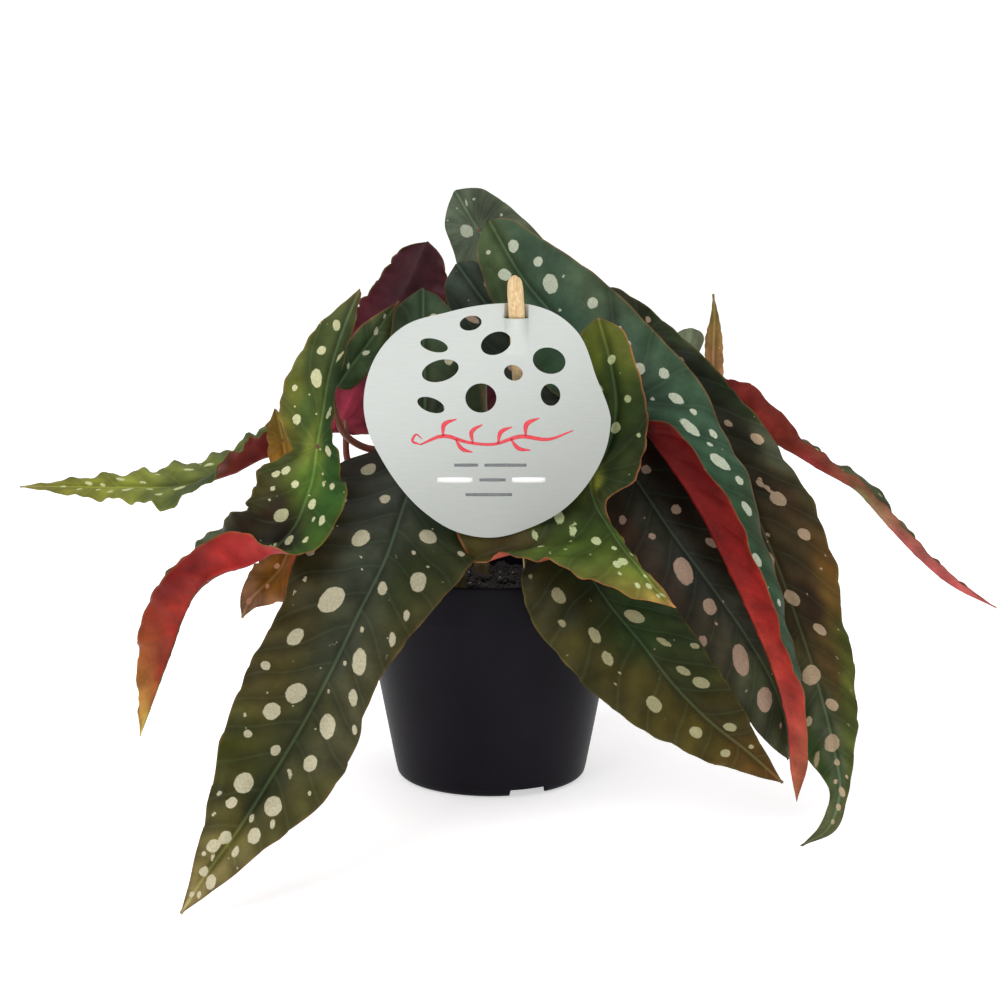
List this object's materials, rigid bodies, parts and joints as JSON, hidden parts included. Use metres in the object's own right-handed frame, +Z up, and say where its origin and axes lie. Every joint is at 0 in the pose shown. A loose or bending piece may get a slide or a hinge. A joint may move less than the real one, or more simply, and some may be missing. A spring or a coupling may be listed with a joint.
{
  "type": "potted begonia",
  "caption": "Spotted angel-wing begonia in a tapered nursery pot, with arching cane stems, long drooping leaves and a round punched card on a wooden stick.",
  "frame": {"origin": "centre of the flat pad under the pot's base, on the surface that the pot stands on", "axes": "+Z up, -Y towards the front where the card faces, +X to the right as seen from the front; the leaves spread furthest along X"},
  "size_m": [0.4255, 0.3771, 0.2615],
  "materials": {
    "pot": "satin black moulded plastic",
    "soil": "moist dark potting soil, loose and crumbly",
    "card": "silver-grey coated card",
    "stick": "bare pale wood",
    "cane": "green to brown cane skin with ringed joints",
    "leaf_green": "satin green leaf with pale silver spots and a red underside",
    "leaf_dark": "satin dark olive leaf with tan spots and a red underside",
    "leaf_young": "young orange leaf with pale spots",
    "petiole": "fleshy red-green leaf stalk"
  },
  "bodies": {
    "root": {"pot": "pot", "soil": "soil", "card": "card", "stick": "stick", "cane_left": "cane", "cane_right": "cane", "cane_mid": "cane", "cane_rear": "cane", "leaf_front_left": "leaf_dark", "leaf_left_mid": "leaf_green", "leaf_left_rear": "leaf_green", "leaf_left_inner": "leaf_green", "leaf_left_young": "leaf_young", "leaf_top_rear": "leaf_green", "leaf_right_main": "leaf_green", "leaf_right_dark": "leaf_dark", "leaf_front_low": "leaf_green", "leaf_right_brown": "leaf_dark", "leaf_front_bright": "leaf_green", "leaf_far_right": "leaf_green", "leaf_right_tip": "leaf_young", "leaf_rear_left": "leaf_green", "leaf_rear_mid": "leaf_green", "leaf_rear_right": "leaf_green", "leaf_rear_low_left": "leaf_dark", "leaf_rear_low_right": "leaf_dark", "petiole_front_left": "petiole", "petiole_left_mid": "petiole", "petiole_left_rear": "petiole", "petiole_left_inner": "petiole", "petiole_left_young": "petiole", "petiole_top_rear": "petiole", "petiole_right_main": "petiole", "petiole_right_dark": "petiole", "petiole_front_low": "petiole", "petiole_right_brown": "petiole", "petiole_front_bright": "petiole", "petiole_far_right": "petiole", "petiole_right_tip": "petiole", "petiole_rear_left": "petiole", "petiole_rear_mid": "petiole", "petiole_rear_right": "petiole", "petiole_rear_low_left": "petiole", "petiole_rear_low_right": "petiole"}
  },
  "joints": []
}
